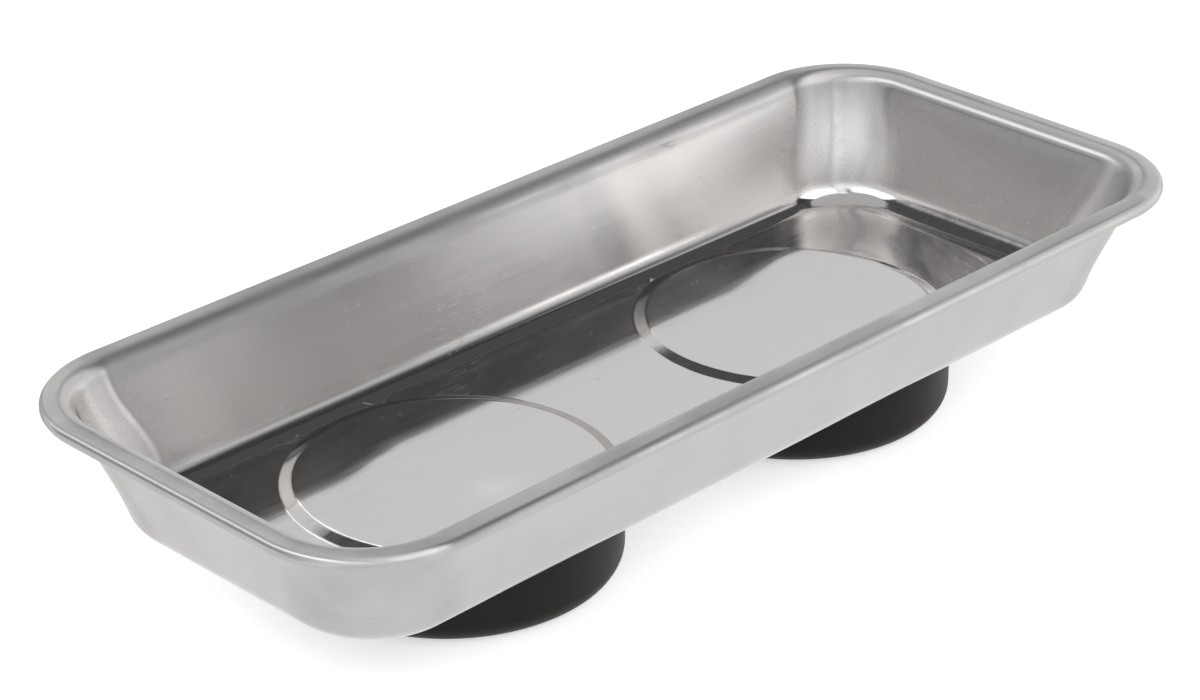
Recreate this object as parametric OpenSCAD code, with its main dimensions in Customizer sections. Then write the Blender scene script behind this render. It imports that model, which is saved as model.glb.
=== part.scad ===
// Magnetic parts tray: a drawn stainless pan standing on two round magnet feet.
// Millimetres, +Z up. The origin is on the ground under the middle of the rim,
// X runs along the tray and Y across it, with the plain front wall towards -Y.

/* [Tray] */
// Length over the rim
tray_l = 240; // [226:1:300]
// Width over the rim
tray_w = 104.5; // [102:0.5:140]
// Depth from the top of the rim down to the floor
tray_depth = 27.1; // [18:0.1:45]
// Corner radius of the rim's outer edge
rim_corner_r = 24; // [20:0.5:30]
// Corner radius of the pan's outside at floor level
pan_corner_r = 17.5; // [12:0.5:24]
// Width of the flange, from the rim's edge to the wall's outer face
flange_w = 6.4; // [6:0.1:9]
// How far each wall leans in between the flange and the floor
wall_lean = 6.9; // [3:0.1:9]
// Thickness of the steel sheet
sheet_t = 0.8; // [0.6:0.05:1]
// Outer radius of the edge that is rolled under all round
hem_r = 1.15; // [1.1:0.05:1.5]
// Length of the lip behind the rolled edge
hem_lip = 1.4; // [0.5:0.1:2]
// Radius of the bend from the flange into the wall, on the top side
flange_bend_r = 2.4; // [1.6:0.1:3]
// Radius of the bend from the wall into the floor, on the outside
floor_bend_r = 6.9; // [4:0.1:9]

/* [Plateaus] */
// Height of each raised disc above the floor
plateau_rise = 0.8; // [0.4:0.1:1.4]
// Room between the pole plate's edge and the step round the disc
recess_fit = 0.8; // [0.4:0.1:1.5]
// How far the step reaches past the rubber boot
step_margin = 0.2; // [0.1:0.1:1]
// Distance of each foot's axis from the middle, along the tray
foot_x = 49; // [40:0.5:60]
// Offset of both feet from the middle line, towards the back
foot_y = 2; // [0:0.5:3]

/* [Magnets] */
// Radius of the ring magnet
magnet_r = 30; // [27:0.5:31]
// Radius of the hole in the ring magnet
magnet_bore_r = 16; // [15:0.5:18]
// Height of the ring magnet
magnet_h = 12; // [10:0.5:20]
// Chamfer on the ring magnet's edges
magnet_chamfer = 0.6; // [0.3:0.1:1]
// Thickness of the flat pole plate on top of the magnet
pole_t = 2.5; // [1.5:0.1:4]
// Radius of the hole in the pole plate
pole_bore_r = 8; // [6:0.5:10]
// Thickness of the dished clamp plate under the magnet
clamp_t = 1.5; // [1:0.1:2]
// How far the clamp plate's edge stays inside the magnet's
clamp_margin = 1; // [0.5:0.1:3]
// Radial play of the dish and the bush in the magnet's hole
bore_fit = 0.3; // [0.1:0.05:0.5]

/* [Rubber boots] */
// Thickness of the boot's wall
boot_wall_t = 3.4; // [2:0.1:5]
// Radius of the boot's rounded lower edge
boot_edge_r = 4.5; // [2:0.1:6]
// Thickness of the boot's floor
boot_floor_t = 2.4; // [1.6:0.1:4]
// Thickness of the rubber that lines the dish
boot_lining_t = 1.4; // [1:0.1:2]
// Radial play between the magnet and the boot
boot_fit = 0.2; // [0.1:0.05:0.4]

/* [Fasteners] */
// Radius of the weld stud
stud_r = 2.5; // [2:0.1:3]
// Radius of the flange where the stud is welded on
stud_flange_r = 3.5; // [3.2:0.1:4.5]
// Thickness of that flange
stud_flange_t = 0.8; // [0.5:0.1:1.2]
// Height of the stud's end above the ground
stud_lift = 1.2; // [0.8:0.1:2]
// How far the stud stands out of the nut
stud_reach = 1; // [0.5:0.1:1.5]
// Width of the nut across its flats
nut_flats = 8; // [7:0.1:10]
// Height of the nut
nut_h = 4; // [3:0.1:5]
// Radius of the spring washer
lock_r = 4.6; // [4:0.1:5]
// Thickness of the spring washer
lock_t = 1.2; // [0.8:0.1:1.6]
// Angle of the slot through the spring washer
lock_slot = 12; // [6:1:24]
// Radius of the wide flat washer
washer_r = 10; // [8:0.5:11]
// Thickness of the wide flat washer
washer_t = 1; // [0.8:0.1:1.5]
// Radial play of the nut's thread on the stud
thread_fit = 0.05; // [0.05:0.05:0.2]
// Radial play of the other holes round the stud
hole_fit = 0.25; // [0.15:0.05:0.5]
// Radial play and end play of the plastic bush
bush_fit = 0.2; // [0.1:0.05:0.4]

/* [Hidden] */

// Overrun that lets a cut pass through a face
cut = 0.5;
// Least thickness: of the slab that starts a hull, and of the lap that joins two areas
film = 0.01;
// Fineness of true curves and of the hulls' own corners
$fn = 96;
hull_fn = 48;

// Heights of one foot's stack, from the ground up
clamp_z = boot_floor_t;
magnet_z = clamp_z + clamp_t;
pole_z = magnet_z + magnet_h;
plateau_under_z = pole_z + pole_t;
nut_z = stud_lift + stud_reach;
lock_z = nut_z + nut_h;
washer_z = lock_z + lock_t;
lining_z = washer_z + washer_t;
web_z = lining_z + boot_lining_t;
bush_z = web_z + clamp_t;

// Heights of the sheet
floor_under_z = plateau_under_z - plateau_rise;
floor_z = floor_under_z + sheet_t;
rim_z = floor_z + tray_depth;
flange_under_z = rim_z - sheet_t;

// Radii of one foot, from the axis out
stud_hole_r = stud_r + hole_fit;
dish_r = magnet_bore_r - bore_fit - clamp_t;
well_r = dish_r - boot_lining_t;
boot_cavity_r = magnet_r + boot_fit;
boot_r = boot_cavity_r + boot_wall_t;
plateau_r = magnet_r + recess_fit;
step_r = boot_r + step_margin;

// The step round a plateau is two equal arcs that meet in its middle
step_w = step_r - plateau_r;
step_mid_r = plateau_r + step_w / 2;
step_arc_r = (step_w * step_w + plateau_rise * plateau_rise) / (4 * plateau_rise);

// The wall leans by this angle from the vertical
lean_a = atan(wall_lean / tray_depth);
// Centre of the wall-to-floor bend, measured in from the rim's edge
floor_bend_in = flange_w + wall_lean + floor_bend_r * (1 / cos(lean_a) - tan(lean_a));
// Radius of the line that this bend follows round a corner of the pan
floor_bend_ring_r = pan_corner_r - (floor_bend_in - flange_w - wall_lean);
// Centre of a corner at floor level, measured in from the rim's edge
pan_corner_in = flange_w + wall_lean + pan_corner_r;

// Centre of the flange-to-wall bend, measured in from the rim's edge
flange_bend_in = wall_in(rim_z - flange_bend_r) + (sheet_t - flange_bend_r) / cos(lean_a);
// The rim's own section runs down the wall by this much past the bend
rim_lap = sheet_t;
// Height at which the wall takes over from the rim's section
wall_top_z = rim_z - flange_bend_r + (flange_bend_r - sheet_t) * sin(lean_a) - rim_lap / 4;

// How far the wall's outer face is in from the rim's edge at height z
function wall_in(z) = flange_w + (flange_under_z - z) * tan(lean_a);

// Puts its children at the four corner centres that lie inset from the rim's edge
module at_corners(inset) {
    for (turn = [0:3]) {
        sx = turn == 0 || turn == 3 ? 1 : -1;
        sy = turn < 2 ? 1 : -1;
        translate([sx * (tray_l / 2 - inset), sy * (tray_w / 2 - inset), 0])
            rotate([0, 0, 90 * turn]) children();
    }
}

// Solid block of the pan, with its face moved in by skin, up to the height top
module pan_block(skin, top) {
    hull() {
        at_corners(rim_corner_r) translate([0, 0, top - film])
            cylinder(r = rim_corner_r - wall_in(top) - skin / cos(lean_a), h = film, $fn = hull_fn);
        at_corners(pan_corner_in) translate([0, 0, floor_under_z + floor_bend_r])
            rotate_extrude($fn = hull_fn) translate([floor_bend_ring_r, 0])
                circle(r = floor_bend_r - skin, $fn = hull_fn);
    }
}

// Section of the flange, its rolled edge and its bend, with X out from a corner's centre
module rim_section() {
    roll_x = rim_corner_r - hem_r;
    bend_x = rim_corner_r - flange_bend_in;
    reach = 2 * flange_bend_r;
    translate([bend_x, flange_under_z]) square([roll_x - bend_x, sheet_t]);
    translate([roll_x, rim_z - hem_r]) intersection() {
        difference() {
            circle(r = hem_r);
            circle(r = hem_r - sheet_t);
        }
        translate([0, -hem_r]) square([hem_r, 2 * hem_r]);
    }
    translate([roll_x - hem_lip, rim_z - 2 * hem_r]) square([hem_lip, sheet_t]);
    translate([bend_x, rim_z - flange_bend_r]) {
        intersection() {
            difference() {
                circle(r = flange_bend_r);
                circle(r = flange_bend_r - sheet_t);
            }
            polygon([[0, 0], [0, reach], [-reach, reach], [-reach, reach * tan(lean_a)]]);
        }
        rotate(180 - lean_a) translate([flange_bend_r - sheet_t, -film])
            square([sheet_t, rim_lap + film]);
    }
}

// The rim's section carried round the four sides and the four corners
module rim() {
    at_corners(rim_corner_r) rotate_extrude(angle = 90) rim_section();
    for (turn = [0:3]) {
        half = turn % 2 == 0 ? tray_l / 2 : tray_w / 2;
        run = (turn % 2 == 0 ? tray_w : tray_l) - 2 * rim_corner_r;
        rotate([0, 0, 90 * turn]) translate([half - rim_corner_r, run / 2, 0])
            rotate([90, 0, 0]) linear_extrude(run) rim_section();
    }
}

// Area under the step round a plateau, down to depth below the floor
module under_step(depth) {
    translate([0, -depth]) square([step_r, depth]);
    square([plateau_r, plateau_rise]);
    intersection() {
        translate([plateau_r, 0]) square([step_w / 2, plateau_rise]);
        translate([plateau_r, plateau_rise - step_arc_r]) circle(r = step_arc_r);
    }
    difference() {
        translate([step_mid_r, 0]) square([step_w / 2, plateau_rise]);
        translate([step_r, step_arc_r]) circle(r = step_arc_r);
    }
}

// Puts its children on the axis of the left foot, at side -1, or the right one, at side 1
module at_foot(side) {
    translate([side * foot_x, foot_y, 0]) children();
}

// One pressed sheet: rolled rim, leaning walls, floor and two raised discs
module tray() {
    color([0.78, 0.78, 0.77]) difference() {
        union() {
            difference() {
                pan_block(0, wall_top_z);
                pan_block(sheet_t, wall_top_z + cut);
            }
            rim();
            for (side = [-1, 1]) {
                at_foot(side) translate([0, 0, floor_z])
                    rotate_extrude() under_step(sheet_t / 2);
            }
        }
        for (side = [-1, 1]) {
            at_foot(side) translate([0, 0, floor_under_z])
                rotate_extrude() under_step(cut);
        }
    }
}

// Threaded stud, welded by its flange to the underside of the plateau
module weld_stud() {
    color([0.72, 0.72, 0.7]) {
        translate([0, 0, plateau_under_z - stud_flange_t])
            cylinder(r = stud_flange_r, h = stud_flange_t);
        translate([0, 0, stud_lift + stud_reach / 2])
            cylinder(r = stud_r, h = plateau_under_z - stud_flange_t - stud_lift - stud_reach / 2);
        translate([0, 0, stud_lift])
            cylinder(r1 = stud_r - stud_reach / 2, r2 = stud_r, h = stud_reach / 2);
    }
}

// Flat steel ring that carries the magnet's upper pole to the tray
module pole_plate() {
    color([0.66, 0.67, 0.68]) translate([0, 0, pole_z]) difference() {
        cylinder(r = magnet_r, h = pole_t);
        translate([0, 0, -cut]) cylinder(r = pole_bore_r, h = pole_t + 2 * cut);
    }
}

// Sintered ring magnet with chamfered edges
module ring_magnet() {
    c = magnet_chamfer;
    color([0.2, 0.2, 0.21]) translate([0, 0, magnet_z]) rotate_extrude() polygon([
        [magnet_bore_r + c, 0], [magnet_r - c, 0], [magnet_r, c],
        [magnet_r, magnet_h - c], [magnet_r - c, magnet_h], [magnet_bore_r + c, magnet_h],
        [magnet_bore_r, magnet_h - c], [magnet_bore_r, c]
    ]);
}

// Plastic bush that keeps the magnet and the pole plate central on the stud
module centring_bush() {
    color([0.85, 0.85, 0.82]) difference() {
        union() {
            translate([0, 0, bush_z])
                cylinder(r = magnet_bore_r - bush_fit, h = pole_z - bush_fit - bush_z);
            translate([0, 0, bush_z])
                cylinder(r = pole_bore_r - bush_fit, h = plateau_under_z - bush_fit - bush_z);
        }
        translate([0, 0, bush_z - cut])
            cylinder(r = stud_hole_r, h = plateau_under_z - bush_z + 2 * cut);
        translate([0, 0, plateau_under_z - stud_flange_t - bush_fit])
            cylinder(r = stud_flange_r + hole_fit, h = stud_flange_t + bush_fit + cut);
    }
}

// Pressed steel plate, dished up into the magnet's hole, that the nut pulls against
module clamp_plate() {
    color([0.7, 0.71, 0.72]) difference() {
        union() {
            translate([0, 0, clamp_z]) cylinder(r = magnet_r - clamp_margin, h = clamp_t);
            translate([0, 0, clamp_z]) cylinder(r = dish_r + clamp_t, h = bush_z - clamp_z);
        }
        translate([0, 0, clamp_z - cut]) cylinder(r = dish_r, h = web_z - clamp_z + cut);
        translate([0, 0, clamp_z]) cylinder(r = stud_hole_r, h = bush_z - clamp_z + cut);
    }
}

// Section of the rubber boot, with a well in its middle for the nut
module boot_section() {
    difference() {
        intersection() {
            union() {
                translate([0, boot_edge_r]) square([boot_r, plateau_under_z - boot_edge_r]);
                square([boot_r - boot_edge_r, plateau_under_z]);
                translate([boot_r - boot_edge_r, boot_edge_r]) circle(r = boot_edge_r);
            }
            translate([0, floor_under_z]) under_step(floor_under_z);
        }
        translate([dish_r, boot_floor_t])
            square([boot_cavity_r - dish_r, plateau_under_z + cut - boot_floor_t]);
        translate([0, web_z]) square([dish_r + cut, plateau_under_z + cut - web_z]);
        translate([0, -cut]) square([well_r, lining_z + cut]);
        translate([0, -cut]) square([stud_hole_r, web_z + 2 * cut]);
    }
}

// Moulded rubber boot: it grips the magnet, lines the dish and is what the tray stands on
module rubber_boot() {
    color([0.15, 0.14, 0.13]) rotate_extrude() boot_section();
}

// Wide washer that presses the boot's lining up against the clamp plate
module flat_washer() {
    color([0.75, 0.75, 0.74]) translate([0, 0, washer_z]) difference() {
        cylinder(r = washer_r, h = washer_t);
        translate([0, 0, -cut]) cylinder(r = stud_hole_r, h = washer_t + 2 * cut);
    }
}

// Split spring washer
module lock_washer() {
    color([0.7, 0.7, 0.69]) translate([0, 0, lock_z]) rotate([0, 0, lock_slot / 2])
        rotate_extrude(angle = 360 - lock_slot)
            translate([stud_hole_r, 0]) square([lock_r - stud_hole_r, lock_t]);
}

// Hexagon nut with both faces chamfered
module hex_nut() {
    flat_r = nut_flats / 2;
    point_r = flat_r / cos(30);
    bevel = (point_r - flat_r) * tan(30);
    color([0.75, 0.75, 0.74]) translate([0, 0, nut_z]) difference() {
        intersection() {
            cylinder(r = point_r, h = nut_h, $fn = 6);
            rotate_extrude() polygon([
                [0, 0], [flat_r, 0], [point_r, bevel], [point_r, nut_h - bevel],
                [flat_r, nut_h], [0, nut_h]
            ]);
        }
        translate([0, 0, -cut]) cylinder(r = stud_r + thread_fit, h = nut_h + 2 * cut);
    }
}

tray();
at_foot(-1) weld_stud();  // left_weld_stud
at_foot(-1) pole_plate();  // left_pole_plate
at_foot(-1) ring_magnet();  // left_ring_magnet
at_foot(-1) centring_bush();  // left_centring_bush
at_foot(-1) clamp_plate();  // left_clamp_plate
at_foot(-1) rubber_boot();  // left_rubber_boot
at_foot(-1) flat_washer();  // left_flat_washer
at_foot(-1) lock_washer();  // left_lock_washer
at_foot(-1) hex_nut();  // left_hex_nut
at_foot(1) weld_stud();  // right_weld_stud
at_foot(1) pole_plate();  // right_pole_plate
at_foot(1) ring_magnet();  // right_ring_magnet
at_foot(1) centring_bush();  // right_centring_bush
at_foot(1) clamp_plate();  // right_clamp_plate
at_foot(1) rubber_boot();  // right_rubber_boot
at_foot(1) flat_washer();  // right_flat_washer
at_foot(1) lock_washer();  // right_lock_washer
at_foot(1) hex_nut();  // right_hex_nut
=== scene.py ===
"""Looks of a magnetic parts tray: a drawn stainless pan that stands on two booted ring magnets.

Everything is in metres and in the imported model's own frame. X runs along the tray, Y across it
with the plain front wall towards -Y, and Z up from the ground under the rubber feet.
"""

import logging
import math
from dataclasses import dataclass, field
from enum import Enum
from typing import Sequence

import bmesh
import bpy
from mathutils import Matrix, Vector
from mathutils.geometry import delaunay_2d_cdt


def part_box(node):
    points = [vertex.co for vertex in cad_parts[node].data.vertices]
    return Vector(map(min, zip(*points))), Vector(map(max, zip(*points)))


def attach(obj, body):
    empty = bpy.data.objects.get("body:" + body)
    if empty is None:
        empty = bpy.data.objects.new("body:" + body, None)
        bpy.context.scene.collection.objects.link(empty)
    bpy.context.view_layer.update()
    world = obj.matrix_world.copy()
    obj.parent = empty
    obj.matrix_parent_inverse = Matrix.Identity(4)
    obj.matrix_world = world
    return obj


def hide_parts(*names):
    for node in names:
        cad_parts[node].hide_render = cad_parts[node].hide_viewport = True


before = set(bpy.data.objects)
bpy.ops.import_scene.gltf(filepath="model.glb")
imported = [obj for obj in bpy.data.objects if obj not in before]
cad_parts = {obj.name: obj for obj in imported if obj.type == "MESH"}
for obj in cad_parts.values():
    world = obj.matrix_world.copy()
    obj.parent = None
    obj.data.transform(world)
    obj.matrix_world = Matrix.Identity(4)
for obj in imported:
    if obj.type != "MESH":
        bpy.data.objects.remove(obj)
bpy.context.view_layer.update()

MM = 0.001
SIDES = ("left", "right")
LOG = logging.getLogger("parts_tray")

Pair = tuple[float, float]
Triple = tuple[float, float, float]


class Finish(Enum):
    """Finishes of the tray, each one a material of its own."""

    STAINLESS = "stainless"
    RUBBER = "boot_rubber"
    FERRITE = "ferrite"
    ZINC = "zinc_steel"
    PLASTIC = "bush_plastic"


class Effect(Enum):
    """Surface effects that several finishes share, each one a node group."""

    GRAIN = "stretched_grain"
    SCRATCHES = "fine_scratches"
    SPECKS = "scattered_specks"
    MOTTLE = "soft_mottle"
    WEAR = "edge_wear"
    PATCH = "local_patch"


CARRIED_NODES = {
    "pole_plate": Finish.ZINC,
    "ring_magnet": Finish.FERRITE,
    "centring_bush": Finish.PLASTIC,
    "clamp_plate": Finish.ZINC,
    "flat_washer": Finish.ZINC,
    "lock_washer": Finish.ZINC,
    "hex_nut": Finish.ZINC,
}


def rounded_step(share: float) -> float:
    """Ease a share from 0 to 1 so that it starts and ends gently.

    Args:
        share: Position between the two ends; values outside 0 to 1 are held at the ends.

    Returns:
        The eased share.
    """
    held = min(1.0, max(0.0, share))
    return held * held * (3 - 2 * held)


def arc(centre: Pair, radius: float, start: float, end: float, steps: int) -> list[Pair]:
    """Points along an arc of the section plane.

    Args:
        centre: Centre of the arc.
        radius: Radius of the arc.
        start: Angle of the first point, in radians.
        end: Angle of the last point, in radians.
        steps: Number of equal steps from the first point to the last.

    Returns:
        The points, both ends included.
    """
    angles = [start + (end - start) * i / steps for i in range(steps + 1)]
    return [(centre[0] + radius * math.cos(a), centre[1] + radius * math.sin(a)) for a in angles]


def straight(start: Pair, end: Pair, steps: int) -> list[Pair]:
    """Points inside a straight run, both ends left out.

    Args:
        start: Point that the run leaves from.
        end: Point that the run arrives at.
        steps: Number of equal steps along the run.

    Returns:
        The points between the two ends.
    """
    shares = [i / steps for i in range(1, steps)]
    return [(start[0] + (end[0] - start[0]) * s, start[1] + (end[1] - start[1]) * s) for s in shares]


class MeshDraft:
    """Vertices and faces of one piece while it is being drawn."""

    def __init__(self) -> None:
        """Start with an empty draft."""
        self.points: list[Vector] = []
        self.satin: list[float] = []
        self.faces: list[Sequence[int]] = []

    def add(self, points: Sequence[Vector], satin: Sequence[float] | None = None) -> list[int]:
        """Add points to the draft.

        Args:
            points: Places of the new vertices.
            satin: How satin the metal is at each of them, or nothing for none.

        Returns:
            Indices of the new vertices, in the same order.
        """
        first = len(self.points)
        self.points.extend(points)
        self.satin.extend(satin if satin is not None else [0.0] * len(points))
        return list(range(first, len(self.points)))

    def bridge(self, one: Sequence[int], other: Sequence[int]) -> None:
        """Join two closed loops of equal length with quads.

        Args:
            one: Indices of the first loop.
            other: Indices of the second loop, in step with the first.
        """
        for i in range(len(one)):
            j = (i + 1) % len(one)
            self.faces.append((one[i], one[j], other[j], other[i]))

    def build(self, name: str, crease: float = math.radians(38)) -> bpy.types.Object:
        """Turn the draft into an object with clean outward normals.

        Args:
            name: Name of the object and its mesh.
            crease: Angle between two faces from which their edge is kept sharp.

        Returns:
            The object, linked to the scene.
        """
        mesh = bpy.data.meshes.new(name)
        mesh.from_pydata([tuple(p) for p in self.points], [], self.faces)
        layer = mesh.attributes.new("satin", "FLOAT", "POINT")
        layer.data.foreach_set("value", self.satin)
        work = bmesh.new()
        work.from_mesh(mesh)
        bmesh.ops.recalc_face_normals(work, faces=work.faces)
        for edge in work.edges:
            edge.smooth = len(edge.link_faces) == 2 and edge.calc_face_angle() < crease
        for face in work.faces:
            face.smooth = True
        work.to_mesh(mesh)
        work.free()
        piece = bpy.data.objects.new(name, mesh)
        bpy.context.scene.collection.objects.link(piece)
        weighted = piece.modifiers.new("flat_faces_stay_flat", "WEIGHTED_NORMAL")
        weighted.keep_sharp = True
        return piece


def lathe(draft: MeshDraft, section: Sequence[Pair], axis: Pair, steps: int) -> None:
    """Turn a closed section round an upright axis.

    Args:
        draft: Draft that takes the turned surface.
        section: Points of the section as radius and height, closed from the last to the first.
        axis: Place of the axis.
        steps: Number of steps in a full turn.
    """
    turns = [math.tau * i / steps for i in range(steps)]
    loops = []
    for radius, height in section:
        circle = [(axis[0] + radius * math.cos(a), axis[1] + radius * math.sin(a)) for a in turns]
        ring = [Vector((x, y, height)) for x, y in circle]
        loops.append(draft.add(ring))
    for i, loop in enumerate(loops):
        draft.bridge(loop, loops[(i + 1) % len(loops)])


@dataclass(frozen=True)
class Station:
    """One point of the sheet's section, carried round the pan as a rounded rectangle."""

    inset: float
    height: float
    corner: float
    satin: float = 0.0


@dataclass(frozen=True)
class PanOutline:
    """Rounded rectangle that every loop of the pan follows."""

    half_l: float
    half_w: float
    corner_steps: int = 32
    long_steps: int = 30
    short_steps: int = 12
    corner_fade_steps: float = 2.5

    def loop(self, station: Station) -> list[Vector]:
        """Points of one loop, anticlockwise from the middle of the +X side's upper end.

        Args:
            station: Section point that the loop carries round the pan.

        Returns:
            The points of the closed loop.
        """
        radius = station.corner - station.inset
        reach_x = self.half_l - station.corner
        reach_y = self.half_w - station.corner
        signs = ((1, 1), (-1, 1), (-1, -1), (1, -1))
        centres = [Vector((sx * reach_x, sy * reach_y, station.height)) for sx, sy in signs]
        points = []
        for turn, centre in enumerate(centres):
            for step in range(self.corner_steps + 1):
                angle = math.radians(90) * (turn + step / self.corner_steps)
                points.append(centre + radius * Vector((math.cos(angle), math.sin(angle), 0)))
            end = points[-1]
            start = centres[(turn + 1) % 4] + (end - centre)
            steps = self.long_steps if turn % 2 == 0 else self.short_steps
            points.extend(end.lerp(start, i / steps) for i in range(1, steps))
        return points

    def cornering(self) -> list[float]:
        """Share of each loop point that lies in a corner: 1 all round it, fading out along the sides."""
        shares = []
        for turn in range(4):
            shares.extend([1.0] * (self.corner_steps + 1))
            steps = self.long_steps if turn % 2 == 0 else self.short_steps
            for step in range(1, steps):
                to_corner = min(step, steps - step)
                shares.append(max(0.0, 1 - to_corner / self.corner_fade_steps))
        return shares

    def inset_of(self, x: float, y: float, corner: float) -> float:
        """Distance in from the rim's edge of a point inside the pan.

        Args:
            x: Place along the tray.
            y: Place across the tray.
            corner: Inset of the corners' centre.

        Returns:
            The inset, measured to the nearest side or round the nearest corner.
        """
        past_x = abs(x) - (self.half_l - corner)
        past_y = abs(y) - (self.half_w - corner)
        if past_x > 0 and past_y > 0:
            return corner - math.hypot(past_x, past_y)
        return min(self.half_l - abs(x), self.half_w - abs(y))


@dataclass(frozen=True)
class DiscStep:
    """Pressed step round a raised disc: a straight ramp between two equal arcs."""

    inner_r: float
    outer_r: float
    rise: float
    ramp: float = math.radians(16.6)

    def height(self, radius: float) -> float:
        """Height of the disc above the floor at a radius from its middle.

        Args:
            radius: Distance from the disc's middle.

        Returns:
            The height, from 0 outside the step to the full rise inside it.
        """
        width = self.outer_r - self.inner_r
        bend = (width * math.tan(self.ramp) - self.rise) * math.cos(self.ramp)
        bend /= 2 * (1 - math.cos(self.ramp))
        reach = bend * math.sin(self.ramp)
        way_in = min(width, max(0.0, self.outer_r - radius))
        if way_in <= reach:
            return bend - math.sqrt(bend * bend - way_in * way_in)
        if way_in >= width - reach:
            left = width - way_in
            return self.rise - bend + math.sqrt(bend * bend - left * left)
        return bend * (1 - math.cos(self.ramp)) + (way_in - reach) * math.tan(self.ramp)


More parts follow.
